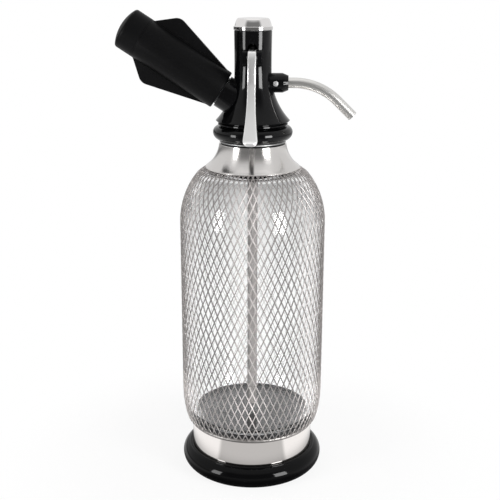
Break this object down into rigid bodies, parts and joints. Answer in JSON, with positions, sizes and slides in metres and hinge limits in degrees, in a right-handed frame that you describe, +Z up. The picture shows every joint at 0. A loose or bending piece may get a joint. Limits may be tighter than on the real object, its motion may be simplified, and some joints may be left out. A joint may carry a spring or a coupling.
{
  "type": "soda siphon",
  "caption": "Glass soda siphon in a wire mesh sleeve, with a press lever, a bent spout, a winged charger holder and a lift-off head.",
  "frame": {"origin": "on the bottle's axis, in the plane that the base stands on", "axes": "+Z up through the bottle; +X towards the spout; the charger holder points to -X and up; the lever faces -Y"},
  "size_m": [0.1612, 0.1014, 0.3256],
  "materials": {
    "gloss_black": "polished black moulding",
    "black_moulding": "plain black moulding",
    "matte_black": "satin black moulding",
    "rubber": "moulded rubber",
    "polished_steel": "polished stainless steel",
    "satin_steel": "spun and brushed round",
    "mesh_wire": "bright drawn wire",
    "clear_glass": "clear blown glass",
    "clear_tube": "translucent tube",
    "chrome": "mirror chrome",
    "satin_chrome": "satin chrome on a casting",
    "plain_steel": "turned steel",
    "spout_steel": "drawn and polished tube",
    "brass": "turned brass",
    "liner_aluminium": "drawn aluminium"
  },
  "bodies": {
    "bottle": {"base_ring": "gloss_black", "base_cup": "black_moulding", "bottle_cushion": "rubber", "base_band": "polished_steel", "glass_bottle": "clear_glass", "mesh_sleeve": "mesh_wire", "neck_ring": "black_moulding", "collar": "satin_steel", "neck_trim": "polished_steel"},
    "head_seal": {"head_gasket": "rubber"},
    "head": {"head_body": "gloss_black", "head_ring": "gloss_black", "cap_gasket": "rubber", "top_cap": "chrome", "stem_bush": "brass", "stem_seal": "rubber", "valve_seat": "brass", "valve_spring": "plain_steel", "lever_pin": "plain_steel", "spout_tube": "spout_steel", "spout_ferrule": "gloss_black", "spout_screw": "plain_steel", "spout_seal": "rubber", "dip_tube": "clear_tube", "tube_sleeve": "rubber", "charger_port": "plain_steel", "piercing_pin": "plain_steel", "port_gasket": "rubber"},
    "check_valve": {"check_ball": "rubber"},
    "lever": {"lever": "satin_chrome"},
    "valve": {"valve_spindle": "plain_steel", "valve_washer": "rubber", "spindle_nut": "brass"},
    "holder_seat": {"holder_pad": "rubber"},
    "charger_holder": {"holder_grip": "matte_black", "holder_cap": "matte_black", "holder_liner": "liner_aluminium"}
  },
  "joints": [
    {"name": "head_lift", "type": "slide", "parent": "bottle", "child": "head_seal", "axis": [0, 0, 1], "range_m": [0, 0.3]},
    {"name": "head_turn", "type": "hinge", "parent": "head_seal", "child": "head", "pos_m": [0, 0, 0.2479], "axis": [0, 0, 1], "continuous": true},
    {"name": "lever_press", "type": "hinge", "parent": "head", "child": "lever", "pos_m": [0, -0.0142, 0.296], "axis": [1, 0, 0], "range_deg": [0, 10], "stiffness_Nm_per_rad": 0.4, "springref_deg": -19.48},
    {"name": "valve_lift", "type": "slide", "parent": "head", "child": "valve", "axis": [0, 0, 1], "range_m": [0, 0.0026], "deforming": ["valve_spring"]},
    {"name": "check_lift", "type": "slide", "parent": "head", "child": "check_valve", "axis": [-0.8406, 0, 0.5417], "range_m": [0, 0.0009]},
    {"name": "holder_off", "type": "slide", "parent": "head", "child": "holder_seat", "axis": [-0.8406, 0, 0.5417], "range_m": [0, 0.09]},
    {"name": "holder_turn", "type": "hinge", "parent": "holder_seat", "child": "charger_holder", "pos_m": [-0.0212, 0, 0.2735], "axis": [-0.8406, 0, 0.5417], "continuous": true}
  ],
  "couplings": [
    {"joint": "valve_lift", "follows": "lever_press", "m_per_rad": 0.0142}
  ]
}
